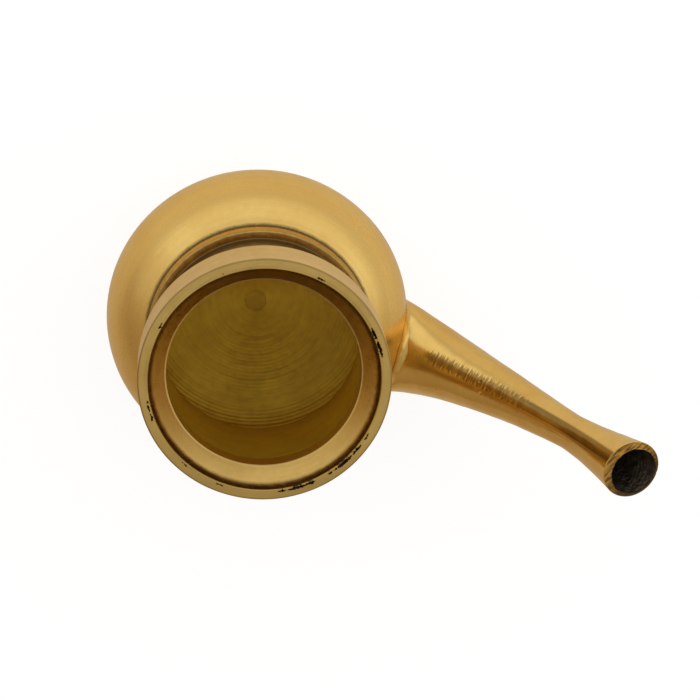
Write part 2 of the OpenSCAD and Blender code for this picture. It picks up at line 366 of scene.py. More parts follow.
def brass(name, colour, tarnish, tarnish_amount, roughness, rings=0.0, along=0.0,
          grain=0.0, pits=0.0, anisotropy=0.0, stripes=0.0, strokes_and_reflection=0.0, tip_shade=(), shade_and_grime=(),
          metallic=1.0):
    """Worn brass. rings, along, grain and pits are depths in millimetres of turning
    lines round the axis, lines across the spout, cast grain and cast pits. stripes is
    how dark the file marks on the tip are. The argument after stripes is how dark the
    strip of file strokes beside the spout's seam is, a dark that is partly a painted
    reflection of the shaded neck. The next holds the distances along the way set for
    the tip's shade at which painted shade on the tip's side away from the light starts
    and is full. Each entry of the next list, (axis, full, none, share), darkens the
    metal towards radius, height or Y full, in millimetres, mostly as painted shade, in
    places with grime; a pair in place of the axis is the radius and height of a ring,
    and distances are from that ring."""
    material = bpy.data.materials.new(name)
    material.use_nodes = True
    t = Tree(material.node_tree)
    shader = material.node_tree.nodes["Principled BSDF"]
    place = t.add("TexCoord").outputs["Object"]
    distances, circle = axis_distances(t, place)

    # Colour: clouds of tarnish, finer mottling, and faint rings where it was turned
    cloud = t.noise(place, 55.0, 4.0, 0.6)
    mottle = t.noise(place, 420.0, 3.0, 0.65)
    ringed = t.noise(circle, 900.0, 3.0, 0.6)
    amount = t.math("ADD", t.math("MULTIPLY", t.remap(cloud, 0.35, 0.7), 0.65),
                    t.math("MULTIPLY", t.remap(mottle, 0.4, 0.75), 0.35))
    if rings:
        amount = t.math("ADD", t.math("MULTIPLY", amount, 0.7),
                        t.math("MULTIPLY", t.remap(ringed, 0.4, 0.7), 0.3))
    factor = t.math("MULTIPLY", amount, tarnish_amount, clamp=True)
    shade = t.mix(factor, colour, tarnish)
    shade = add_shade_and_grime(t, shade, distances, mottle, shade_and_grime)
    if stripes:
        shade = add_file_marks(t, shade, place, stripes)
    if strokes_and_reflection:
        shade = add_strokes_and_reflection(t, shade, strokes_and_reflection)
    if tip_shade:
        shade = add_tip_shade(t, shade, place, tip_shade)
    t.tree.links.new(shade, shader.inputs["Base Color"])
    shader.inputs["Metallic"].default_value = metallic
    shader.inputs["Anisotropic"].default_value = anisotropy
    if anisotropy:
        tangent = t.add("Tangent", direction_type="RADIAL", axis="Z")
        t.tree.links.new(tangent.outputs[0], shader.inputs["Tangent"])

    # Roughness follows the tarnish
    low, high = roughness
    rough = t.remap(t.math("ADD", t.math("MULTIPLY", amount, 0.6),
                           t.math("MULTIPLY", mottle, 0.4)), 0.1, 0.8, low, high)
    t.tree.links.new(rough, shader.inputs["Roughness"])

    depths = {"rings": rings, "along": along, "grain": grain, "pits": pits}
    normal = relief_normal(t, place, circle, ringed, depths)
    if normal is not None:
        t.tree.links.new(normal, shader.inputs["Normal"])
    return material


def make_looks():
    # Painted shade with some dirt in the crease at the neck's joint, painted shade in the corner
    # above the collar, and painted shade on the narrow waist under the rim
    neck_shade_and_grime = [("z", SHOULDER_Z + 0.5, SHOULDER_Z + 1.6, 0.85),
                  ((LEDGE_R - 0.6, COLLAR_Z + 1.2), 1.2, 5.5, 0.75),
                  ("r", WAIST_R + 1.6, FOOT_R - 1.2, 0.42)]
    return {
        # The shoulder is darkened beside the neck's joint: painted shade with some dirt in the
        # crease
        "turned": brass("turned_brass", BRIGHT, DEEP, 0.6, (0.22, 0.36), rings=0.006,
                        shade_and_grime=[("r", FOOT_R + 0.25, FOOT_R + 1.1, 0.85)]),
        "neck": brass("neck_brass", BRIGHT, WORN, 0.7, (0.24, 0.42), rings=0.008,
                      shade_and_grime=neck_shade_and_grime),
        "inside": brass("grooved_brass", OLIVE, DARK_OLIVE, 0.8, (0.36, 0.48), rings=0.02,
                        anisotropy=0.75, metallic=0.62),
        # The rim's outer top edge gets a dark line, and its -Y side painted shade, as on the side
        # away from the light
        "rim": brass("rim_brass", BRIGHT, WORN, 0.75, (0.26, 0.42), rings=0.01, grain=0.008,
                     pits=0.08, shade_and_grime=[((BAND_R - 0.12, LIP_Z - 0.12), 0.16, 0.5, 0.55),
                                       ("y", -38, -10, 0.16)]),
        # The funnel is darkened below the lip as painted shade, and on its +Y side as a painted dark
        # reflection of the inside
        "throat": brass("throat_brass", BRIGHT, TARNISH, 0.35, (0.24, 0.4), rings=0.015,
                        shade_and_grime=[("r", LIP_IN_R - 0.5, LIP_IN_R - 1.7, 0.78),
                               ("y", 30, -4, 0.62)]),
        "dull": brass("dull_brass", OLIVE, DARK_OLIVE, 0.8, (0.45, 0.55), grain=0.004,
                      metallic=0.45),
        # The strip beside the top seam is darkened partly as a painted reflection of the shaded
        # neck, and the tip's outside gets painted shade on its side away from the light
        "cast": brass("cast_brass", BRIGHT, DEEP, 0.8, (0.13, 0.26), along=0.005, pits=0.08,
                      strokes_and_reflection=0.94, tip_shade=(92.0, 95.0)),
        # The filed face is darkened towards its side away from the light: painted shade
        "filed": brass("filed_brass", DEEP, TARNISH, 0.8, (0.32, 0.5), grain=0.01,
                       stripes=0.92, tip_shade=(86.0, 93.0)),
        # The bore is coloured near black: painted shade inside the spout
        "bore": brass("bore_brass", BORE_SHADE_AND_JOINT_DARK, LIGHTER_BORE_SHADE, 0.7, (0.45, 0.7), grain=0.05),
        "braze": brass("braze_brass", BRIGHT, DEEP, 0.7, (0.2, 0.36), grain=0.006, pits=0.1),
        "joint": brass("joint_brass", GRIME_AND_SHADE, BORE_SHADE_AND_JOINT_DARK, 0.9, (0.5, 0.7), grain=0.01),
    }


# ---------- mesh helpers ----------

def make_object(name, points, faces, materials, which, node, sharp=35, strokes_and_reflection=None):
    """A mesh object from points in millimetres, standing for one CAD node. which gives
    each face's index in materials, and the last argument how dark each point is painted
    in the strip of file strokes, partly as a painted reflection."""
    mesh = bpy.data.meshes.new(name)
    mesh.from_pydata((np.asarray(points, float) * MM).tolist(), [], faces)
    for material in materials:
        mesh.materials.append(material)
    mesh.polygons.foreach_set("material_index", np.asarray(which, np.int32))
    if strokes_and_reflection is not None:
        layer = mesh.attributes.new("strokes_and_reflection", "FLOAT", "POINT")
        layer.data.foreach_set("value", np.asarray(strokes_and_reflection, np.float32))
    mesh.shade_smooth()
    mesh.set_sharp_from_angle(angle=math.radians(sharp))
    piece = bpy.data.objects.new(name, mesh)
    bpy.context.collection.objects.link(piece)
    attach(piece, "root")
    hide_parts(node)
    return piece


def waves(points, size, seed, count=6):
    """Smooth random heights of about -1 to 1 at the points, size mm from hill to hill."""
    rng = np.random.RandomState(seed)
    total = np.zeros(points.shape[:-1])
    for _ in range(count):
        way = rng.normal(size=3)
        way *= 2 * math.pi / (size * rng.uniform(0.7, 1.6) * np.linalg.norm(way))
        total += np.sin(points @ way + rng.uniform(0, 2 * math.pi))
    return total / math.sqrt(count) / 1.5


def resample(outline, step):
    """The outline with its longer edges cut so that no edge passes step mm."""
    points = []
    for (r0, z0), (r1, z1) in zip(outline, outline[1:]):
        n = max(1, math.ceil(math.hypot(r1 - r0, z1 - z0) / step))
        points += [(r0 + (r1 - r0) * i / n, z0 + (z1 - z0) * i / n) for i in range(n)]
    return points + [outline[-1]]


def rounded(corners, step=0.5, bend=4):
    """A line through (r, z, radius) corners, each rounded by its own radius."""
    line = []
    for i, (r, z, radius) in enumerate(corners):
        here = np.array((r, z))
        if radius == 0 or i in (0, len(corners) - 1):
            line.append((r, z))
            continue
        before = np.array(corners[i - 1][:2]) - here
        after = np.array(corners[i + 1][:2]) - here
        before /= np.linalg.norm(before)
        after /= np.linalg.norm(after)
        half = math.acos(np.clip(before @ after, -1, 1)) / 2
        reach = radius / math.tan(half)
        a, b = here + before * reach, here + after * reach
        for k in range(bend + 1):
            u = k / bend
            line.append(tuple((1 - u) ** 2 * a + 2 * u * (1 - u) * here + u * u * b))
    return resample(line, step)


def ellipse(a, b, start, end, step=0.5):
    """Quarter ellipse centred at the belly's height, from angle start to end."""
    n = max(8, int(abs(end - start) * (a + b) / 2 / step))
    angles = np.linspace(start, end, n + 1)
    return [(a * math.cos(t), BELLY_Z + b * math.sin(t)) for t in angles]


def lathe(name, outline, turns, relief, materials, node, inner_from=None):
    """Turns a closed (r, z) outline round Z. relief(points, s) gives how far each point
    moves out of the surface, where s is its distance along the outline. Faces of the
    outline from inner_from on take the second material, and deep faces the last."""
    line = np.array(outline)
    n = len(line)
    second = np.arange(n) >= (n if inner_from is None else inner_from)
    area = np.sum(line[:, 0] * np.roll(line[:, 1], -1) - np.roll(line[:, 0], -1) * line[:, 1])
    if area < 0:
        line = line[::-1]
        second = second[(n - 2 - np.arange(n)) % n]
    run = np.roll(line, -1, 0) - np.roll(line, 1, 0)
    out = np.stack([run[:, 1], -run[:, 0]], 1)
    out /= np.maximum(np.linalg.norm(out, axis=1), 1e-9)[:, None]
    s = np.concatenate([[0], np.cumsum(np.linalg.norm(np.diff(line, axis=0), axis=1))])
    angle = np.arange(turns) * 2 * math.pi / turns
    c, d = np.cos(angle)[:, None], np.sin(angle)[:, None]
    points = np.stack([c * line[:, 0], d * line[:, 0], np.tile(line[:, 1], (turns, 1))], -1)
    lift = np.zeros(points.shape[:2])
    if relief:
        lift = relief(points, np.tile(s, (turns, 1)))
        r = line[:, 0] + lift * out[:, 0]
        z = line[:, 1] + lift * out[:, 1]
        points = np.stack([c * r, d * r, z], -1)
    faces = []
    for j in range(turns):
        a, b = j * n, ((j + 1) % turns) * n
        faces += [(a + i, b + i, b + (i + 1) % n, a + (i + 1) % n) for i in range(n)]
    deep = (lift + np.roll(lift, -1, 0) + np.roll(lift, -1, 1)) / 3 < -VOID_DEPTH
    which = np.where(deep, len(materials) - 1, np.tile(second, (turns, 1)) * 1)
    return make_object(name, points.reshape(-1, 3), faces, materials, which.ravel(), node)


def ramp(value, low, high):
    """0 below low, 1 above high, smooth between."""
    u = np.clip((value - low) / (high - low), 0, 1)
    return u * u * (3 - 2 * u)


# ---------- body ----------

def skin_relief(seed, turning=0.004, pitch=1.3, wobble=0.03):
    """Hand-polished turned surface: slow unevenness and faint rings."""
    def relief(points, s):
        rings = np.sin(s * 2 * math.pi / pitch) * (0.6 + 0.4 * np.sin(s * 0.9 + seed))
        return wobble * waves(points, 24, seed) + turning * rings
    return relief


def grooved_relief(points, s):
    """The inside keeps the lathe tool's grooves; the outside is polished."""
    outer = skin_relief(3)(points, s)
    r = np.hypot(points[..., 0], points[..., 1])
    z = points[..., 2]
    wall = BELLY_Z - LOW_B * np.sqrt(np.clip(1 - (r / BODY_R) ** 2, 0, 1))
    inside = (z > 1.0) & (z - wall > 1.0) & (r < INNER_R + 0.3)
    groove = np.sin(s * 2 * math.pi / 1.25) + 0.6 * np.sin(s * 2 * math.pi / 2.9 + 1.0)
    fade = ramp(r, 3.0, 9.0) * (0.5 + 0.5 * ramp(r, 14.0, 24.0))
    inner = 0.02 * groove * fade + 0.05 * waves(points, 20, 5)
    return np.where(inside, inner, outer * ramp(z, 0.2, 1.5))


def cut_spout_hole(piece):
    """Drills the hole under the spout's root through the body wall."""
    turns = 64
    ends = []
    for x in (INNER_R - 20, BODY_R + 20):
        ends += [(x, HOLE_R * math.cos(2 * math.pi * i / turns),
                  HOLE_Z + HOLE_R * math.sin(2 * math.pi * i / turns)) for i in range(turns)]
    faces = [(i, (i + 1) % turns, turns + (i + 1) % turns, turns + i) for i in range(turns)]
    faces += [tuple(range(turns))[::-1], tuple(range(turns, 2 * turns))]
    mesh = bpy.data.meshes.new("drill")
    mesh.from_pydata((np.array(ends) * MM).tolist(), [], faces)
    drill = bpy.data.objects.new("drill", mesh)
    bpy.context.collection.objects.link(drill)
    cut = piece.modifiers.new("hole", "BOOLEAN")
    cut.operation = "DIFFERENCE"
    cut.solver = "EXACT"
    cut.object = drill
    bpy.context.view_layer.update()
    seen = piece.evaluated_get(bpy.context.evaluated_depsgraph_get())
    done = bpy.data.meshes.new_from_object(seen)
    piece.modifiers.clear()
    piece.data = done
    bpy.data.objects.remove(drill)


def make_body(looks):
    groove_low = math.asin(BELLY_GROOVE / LOW_B)
    groove_up = math.asin(BELLY_GROOVE / UP_B)
    base_turn = -math.asin(BELLY_Z / LOW_B)
    base = rounded([(PLUG_R, 0, 0), (BASE_R - 3, 0, 0), (BASE_R, 0.35, 0)], 0.6)
    outside = ellipse(BODY_R, LOW_B, base_turn + 0.03, -groove_low, 0.45)
    outside += [(BODY_R - BELLY_GROOVE, BELLY_Z)]
    inside = ellipse(INNER_R, LOW_INNER_B, 0, -math.acos(PLUG_R / INNER_R), 0.22)
    bowl = lathe("lower_bowl_turned", base + outside + inside, 384, grooved_relief,
                 [looks["turned"], looks["inside"]], "lower_bowl",
                 len(base + outside) - 1)
    cut_spout_hole(bowl)

    outside = [(BODY_R - BELLY_GROOVE, BELLY_Z)]
    outside += ellipse(BODY_R, UP_B, groove_up, math.acos(FOOT_R / BODY_R), 0.4)
    inside = ellipse(INNER_R, UP_INNER_B, math.acos(MOUTH_R / INNER_R), 0, 0.6)
    shoulder = lathe("shoulder_turned", outside + inside, 384, skin_relief(11),
                     [looks["turned"], looks["inside"]], "upper_bowl",
                     len(outside) - 1)
    cut_spout_hole(shoulder)

    low_edge = (BODY_R * math.cos(groove_low), BELLY_Z - BELLY_GROOVE)
    high_edge = (BODY_R * math.cos(groove_up), BELLY_Z + BELLY_GROOVE)
    seam = [(BODY_R - BELLY_GROOVE, BELLY_Z), low_edge, (BODY_R - 0.01, BELLY_Z), high_edge]
    lathe("belly_seam", resample(seam + seam[:1], 0.3)[:-1], 384, skin_relief(12, 0, 1, 0.01),
          [looks["braze"]], "belly_braze")

    plug_top = BELLY_Z - LOW_INNER_B * math.sqrt(1 - (PLUG_R / INNER_R) ** 2)
    plug = rounded([(0.02, 0, 0), (PLUG_R, 0, 0.1), (PLUG_R, plug_top, 0.12),
                    (0.02, plug_top + 0.02, 0)], 0.3)
    lathe("floor_plug_disc", plug, 96, lambda p, s: 0.02 * waves(p, 3, 8) * (p[..., 2] > 0.5),
          [looks["dull"]], "floor_plug")


# ---------- neck and rim ----------

def make_neck(looks):
    outside = rounded([(FOOT_R - NECK_GROOVE, SHOULDER_Z, 0),
                       (FOOT_R, SHOULDER_Z + NECK_GROOVE, 0.1),
                       (FOOT_R - 0.35, COLLAR_Z - 0.2, 0.55),
                       (LEDGE_R, COLLAR_Z, 0)], 0.35, 7)
    turns = np.linspace(0, math.pi / 2, 30)
    outside += [(WAIST_R + (LEDGE_R - WAIST_R) * (1 - math.sin(t)),
                 COLLAR_Z + (WAIST_Z - COLLAR_Z) * (1 - math.cos(t))) for t in turns[1:]]
    top_r = BAND_IN_R
    outside += [(WAIST_R + (top_r - WAIST_R) * (1 - math.cos(t)),
                 WAIST_Z + (BAND_Z - WAIST_Z) * math.sin(t)) for t in turns[1:]]
    outside += resample([(top_r, BAND_Z), (top_r, NECK_TOP_Z), (top_r - NECK_WALL, NECK_TOP_Z)],
                        1.0)[1:]
    bare = len(outside) - 1
    inside = [(WAIST_R - NECK_WALL + (top_r - WAIST_R) * (1 - math.sin(t)),
               WAIST_Z + (BAND_Z - WAIST_Z) * math.cos(t)) for t in turns]
    for t in np.linspace(0, 1, 16)[1:]:
        eased = (1 - math.cos(math.pi * t)) / 2
        inside.append((WAIST_R - NECK_WALL + (MOUTH_R - WAIST_R + NECK_WALL) * eased,
                       WAIST_Z + (SHOULDER_Z - WAIST_Z) * t))
    lathe("neck_turned", outside + inside, 384, skin_relief(21, 0.006, 0.9, 0.02),
          [looks["neck"], looks["inside"]], "neck", bare)

    seam = [(FOOT_R - NECK_GROOVE, SHOULDER_Z), (FOOT_R - 0.02, SHOULDER_Z + 0.02),
            (FOOT_R - 0.25, SHOULDER_Z + 0.25), (FOOT_R - 0.05, SHOULDER_Z + NECK_GROOVE - 0.05)]
    lathe("neck_seam", resample(seam + seam[:1], 0.15)[:-1], 384, None, [looks["joint"]],
          "neck_braze")


# Unfilled stretches of the lip's braze line: centre and half length in degrees round
# the pot, and how wide they open, in millimetres
LIP_VOIDS = [(31, 4.5, 0.6), (39, 3.5, 0.5), (-15, 2.5, 0.3), (-24, 3.5, 0.45), (-33, 6, 0.75),
             (-41, 2, 0.4), (-52, 3, 0.55), (-59, 5, 0.65), (-67, 2, 0.4), (207, 3, 0.3),
             (213, 2, 0.3), (165, 1.5, 0.2), (-98, 2, 0.25), (-118, 1.5, 0.2), (77, 2, 0.2)]
VOID_DEPTH = 0.2


def lip_relief(points, s):
    """Filed lip: slightly crowned and uneven, with ragged voids along the braze."""
    r = np.hypot(points[..., 0], points[..., 1])
    z = points[..., 2]
    base = 0.025 * waves(points, 16, 31) + 0.003 * np.sin(s * 2 * math.pi / 0.8)
    top = (z > LIP_Z - 0.3) & (r > LIP_IN_R - 0.1) & (r < BAND_R - 0.3)
    crown = 0.11 * ((r - LIP_IN_R) / (BAND_R - LIP_IN_R)) ** 2
    base = base - np.where(z > LIP_Z - 0.3, crown, 0)
    angle = np.degrees(np.arctan2(points[..., 1], points[..., 0]))
    joint = (SLEEVE_OUT_R + BAND_IN_R) / 2
    depth = np.zeros_like(r)
    for i, j in np.argwhere(top):
        reach = -0.33
        for centre, half, width in LIP_VOIDS:
            off = abs((angle[i, j] - centre + 180) % 360 - 180) / half
            if off < 1:
                reach = max(reach, width * (1 - off * off))
        here = Vector(points[i, j])
        ragged = noise.noise(here * 1.3) + 0.6 * noise.noise(here * 3.7)
        edge = reach * 0.7 + 0.42 * ragged - abs(r[i, j] - joint - 0.1)
        if edge > 0:
            depth[i, j] = min(0.9, 4 * edge)
        elif abs(r[i, j] - joint) < 0.07:
            depth[i, j] = 0.03
    return base - depth


def make_rim(looks):
    turns = 900
    fine = 0.14
    look = [looks["rim"], looks["joint"]]
    band = rounded([(BAND_IN_R, BAND_Z, 0), (BAND_R, BAND_Z, 0.4), (BAND_R, LIP_Z, 0.45),
                    (BAND_IN_R + 1.3, LIP_Z, 0)], 0.5, 5)
    band += resample([(BAND_IN_R + 1.3, LIP_Z), (BAND_IN_R, LIP_Z)], fine)[1:]
    band += resample([(BAND_IN_R, LIP_Z), (BAND_IN_R, LIP_Z - 1.2), (BAND_IN_R, BAND_Z)], 1.2)[1:-1]
    lathe("rim_band_turned", band, turns, lip_relief, look, "rim_band")

    middle = [(SLEEVE_OUT_R, BRAZE_Z), (BAND_IN_R, BRAZE_Z), (BAND_IN_R, LIP_Z - 0.01)]
    middle += resample([(BAND_IN_R, LIP_Z - 0.01), (SLEEVE_OUT_R, LIP_Z - 0.01)], fine)[1:]
    lathe("rim_braze_line", middle, turns, lip_relief, look, "rim_braze")

    neck_in = BAND_IN_R - NECK_WALL - 0.4
    sleeve = rounded([(SLEEVE_OUT_R, LIP_Z, 0), (LIP_IN_R + 0.12, LIP_Z, 0.08),
                      (LIP_IN_R - 0.1, LIP_Z - 0.3, 0.2), (*FUNNEL_BEND, 5.0),
                      (THROAT_R + 0.45, THROAT_Z + 0.18, 0.3),
                      (THROAT_R + 0.05, THROAT_Z + 0.06, 0.12), (THROAT_R, SLEEVE_Z, 0.3),
                      (neck_in, SLEEVE_Z, 0)], 0.3, 9)
    edge = next(i for i, (_, z) in enumerate(sleeve) if z < LIP_Z - 0.3)
    sleeve += resample([(neck_in, SLEEVE_Z), (neck_in, NECK_TOP_Z), (SLEEVE_OUT_R, NECK_TOP_Z),
                        (SLEEVE_OUT_R, LIP_Z)], 1.2)[1:-1]
    lathe("rim_sleeve_turned", sleeve, turns, lip_relief,
          [looks["rim"], looks["throat"], looks["joint"]], "rim_sleeve", edge)


# ---------- spout ----------

def path_at(t):
    t = np.asarray(t, float)[..., None]
    return ((1 - t) ** 3 * PATH[0] + 3 * t * (1 - t) ** 2 * PATH[1]
            + 3 * t * t * (1 - t) * PATH[2] + t ** 3 * PATH[3])


def path_slope(t):
    t = np.asarray(t, float)[..., None]
    d = ((1 - t) ** 2 * (PATH[1] - PATH[0]) + 2 * t * (1 - t) * (PATH[2] - PATH[1])
         + t * t * (PATH[3] - PATH[2]))
    return np.arctan2(d[..., 1], d[..., 0])


def half_w(t):
    taper = NARROW_R + (ROOT_W - NARROW_R) * np.clip(1 - t / NARROW_T, 0, 1) ** TAPER_POWER
    flare = (TIP_R - NARROW_R) * np.clip((t - NARROW_T) / (1 - NARROW_T), 0, 1) ** FLARE_POWER
    return taper + flare


def half_h(t):
    return half_w(t) * (1 - (1 - ROOT_H / ROOT_W) * np.clip(1 - t / 0.5, 0, 1) ** 1.5)


def wall_at(t):
    return ROOT_WALL + (TIP_WALL - ROOT_WALL) * t


def section_point(t, side, up, ahead=0.0):
    """Point of the spout's section at t: side is across, up is square to the path."""
    p, a = path_at(t), path_slope(t)
    lean = TIP_LEAN * np.clip((t - 0.8) / 0.2, 0, None) ** 2
    forward = ahead - up * lean
    return np.stack([p[..., 0] - up * np.sin(a) + forward * np.cos(a), side + 0 * up,
                     p[..., 1] + up * np.cos(a) + forward * np.sin(a)], -1)


def on_belly(points):
    """Moves points along X onto the belly's outside."""
    y, z = points[..., 1], points[..., 2]
    b = np.where(z < BELLY_Z, LOW_B, UP_B)
    x = np.sqrt(np.clip(BODY_R ** 2 * (1 - ((z - BELLY_Z) / b) ** 2) - y * y, 0, None))
    return np.stack([x + SKIN_GAP, y, z], -1)


def outer_point(t, a):
    """Point of the outside at angle a from the top."""
    return section_point(t, half_w(t) * np.sin(a), half_h(t) * np.cos(a))


def seam_depth(t):
    """Depth of the grooves for the seam's braze; they die out before the tip and root."""
    held = ramp(t, 0.24, 0.28) * (1 - ramp(t, 0.96, 0.985))
    return 0.05 + (SEAM_DEPTH - 0.05) * held


def inner_point(t, a):
    """Point of the bore at angle a from the top; the bore runs out of centre at the tip."""
    off = np.clip((t - 0.6) / 0.4, 0, 1) ** 2
    return section_point(t, (half_w(t) - wall_at(t)) * np.sin(a) - BORE_SIDE * off,
                         (half_h(t) - wall_at(t)) * np.cos(a) - BORE_OFFSET * off)


# The strip of file strokes, darkened partly as a painted reflection of the shaded neck:
# how far it lies from the top seam, in radians, and the distances from the belly at
# which it starts and turns into a smooth painted dark reflection, in millimetres
STROKE_ANGLE = 0.3
STROKE_START, STROKE_END = 18.0, 58.0
# Half the strip's width, and the lengths of the strokes' waves in the relief and along
# the strip's sides
STRIP_HALF = 2.0
RELIEF_PITCHES = (0.62, 0.83, 1.15, 1.6, 0.71)
SIDE_PITCHES = (0.55, 0.78, 1.3, 2.1)

# Mesh of a spout half: its columns as shares of the way from seam to seam, closer
# together beside the seams, and its rows from the first clear section to the tip
COLUMNS = np.concatenate([[0, 0.003], np.linspace(0, 1, 67)[1:-1], [0.997, 1]])
ROWS = 860
# Radius of the worn edge round the tip, and the steps across its filed face
TIP_EDGE = 0.3
TIP_STEPS = 14


def unit(vectors):
    """The vectors scaled to length 1."""
    return vectors / np.linalg.norm(vectors, axis=-1, keepdims=True)


def tube_rows(points_at, rows, flare=0.0):
    """Rows of points along the tube, led smoothly from the belly, where it is flare mm
    wider, to the first clear section."""
    start = points_at(np.full(1, BELLY_T))[0]
    away = start - section_point(BELLY_T, 0.0, 0.0)
    start = on_belly(start + flare * unit(away))
    clear, ahead = points_at(np.array([CLEAR_T, CLEAR_T + 0.01]))
    way = unit(ahead - clear)
    reach = 0.5 * np.linalg.norm(clear - start, axis=-1, keepdims=True)
    middle = clear - way * reach
    ruled = 40
    shares = [i / ruled for i in range(ruled)]
    first = [(1 - u) ** 2 * start + 2 * u * (1 - u) * middle + u * u * clear for u in shares]
    return np.concatenate([np.array(first), points_at(np.linspace(CLEAR_T, 1, rows))])


def spout_relief(points, length, angle):
    """Cast and filed outside: soft lumps, and short file strokes across the length that
    are deepest along a strip beside the top seam."""
    lump = 0.07 * waves(points, 17, 41) + 0.03 * waves(points, 7, 42)
    stroke = np.zeros_like(lump)
    for k, pitch in enumerate(RELIEF_PITCHES):
        sway = 0.5 * np.sin(angle * (3 + 2 * k) + k)
        gate = ramp(waves(points * (1, 0.25, 1), 5 + 2 * k, 50 + k), -0.2, 0.8)
        stroke += gate * np.sin(2 * math.pi * length / pitch + sway)
    strip = np.exp(-((angle - STROKE_ANGLE) / 0.36) ** 2)
    strokes_and_reflection = strip * ramp(length, 10, 20) * (1 - ramp(length, 58, 76))
    return lump + (0.001 + 0.007 * strokes_and_reflection) * stroke


def strokes_and_reflection_strip(length, angle, radius):
    """How dark each point of the spout is painted: a strip of file strokes with ragged sides
    where single strokes run out, darkened partly as a painted reflection of the shaded
    neck, which turns into a smooth streak of painted dark reflection towards the tip."""
    off = (angle - STROKE_ANGLE) * radius
    ragged = np.zeros_like(off)
    for k, pitch in enumerate(SIDE_PITCHES):
        ragged += np.sin(2 * math.pi * length / pitch + 1.7 * k + np.sin(length / (3 + k)))
    half = STRIP_HALF * ramp(length, STROKE_START - 4, STROKE_START + 8)
    smooth = ramp(length, STROKE_END, STROKE_END + 8)
    rough = ramp(length, STROKE_START, STROKE_START + 5) * (1 - smooth)
    inside = half + 0.34 * ragged * rough - np.abs(off)
    fine = 0.82 + 0.18 * rough * np.sin(2 * math.pi * length / 0.66 + 0.8 * ragged)
    return ramp(inside, -0.25, 0.45) * fine * ramp(length, STROKE_START, STROKE_START + 4)


def half_outside(t, s):
    """Columns of one half's outside at each t, from the bottom of the top seam's groove
    round to the bottom seam's; s = 1 is the +Y side."""
    w, h = half_w(t), half_h(t)
    e = np.arcsin(SEAM_W / w)[:, None]
    body = outer_point(t[:, None], s * (e + (math.pi - 2 * e) * COLUMNS))
    top = section_point(t, 0 * t, h - seam_depth(t))[:, None]
    low = section_point(t, 0 * t, seam_depth(t) - h)[:, None]
    return np.concatenate([top, body, low], 1)


def half_inside(t, s):
    """Columns of one half's bore, as many as on its outside."""
    a = np.linspace(0, math.pi, len(COLUMNS) + 2)
    return inner_point(t[:, None], s * a[None, :])


def tip_rows(last, bore):
    """Rows from the outside's last row to the bore: a small worn edge, then the filed
    face in steps."""
    one, zero = np.ones(1), np.zeros(1)
    ahead = section_point(one, zero, zero, 1.0)[0] - section_point(one, zero, zero)[0]
    toward = unit((last[0] + last[-1]) / 2 - last)
    lip = [last + toward * TIP_EDGE * (1 - math.cos(u)) - ahead * TIP_EDGE * (1 - math.sin(u))
           for u in (0.0, 0.5, 1.0, math.pi / 2)]
    face = []
    for k in range(1, TIP_STEPS):
        row = lip[-1] + (bore - lip[-1]) * k / TIP_STEPS
        marks = waves(row * (0.25, 1, 1), 1.0, 70) + 0.5 * waves(row, 1.6, 71)
        face.append(row + ahead * (0.04 * marks - 0.05)[:, None])
    return lip + face


def half_faces(m, n, outer_rows):
    """Faces over an m by n grid of rows and columns, whose first outer_rows rows are the
    outside and whose last ones are the bore, closed at the belly and along both seams."""
    faces = [(i * n + j, (i + 1) * n + j, (i + 1) * n + j + 1, i * n + j + 1)
             for i in range(m - 1) for j in range(n - 1)]
    # The belly face joins the last inner row to the first outer row
    faces += [((m - 1) * n + j, j, j + 1, (m - 1) * n + j + 1) for j in range(n - 1)]
    # Seam faces: matching outer and inner rows, then one face behind the tip
    count = outer_rows - 1
    for j, turn in ((0, 1), (n - 1, -1)):
        for i in range(count - 1):
            quad = (i * n + j, (i + 1) * n + j, (m - 2 - i) * n + j, (m - 1 - i) * n + j)
            faces.append(quad[::turn][::-1])
        rest = tuple(i * n + j for i in range(count - 1, m - count + 1))
        faces.append(rest[::turn][::-1])
    return faces


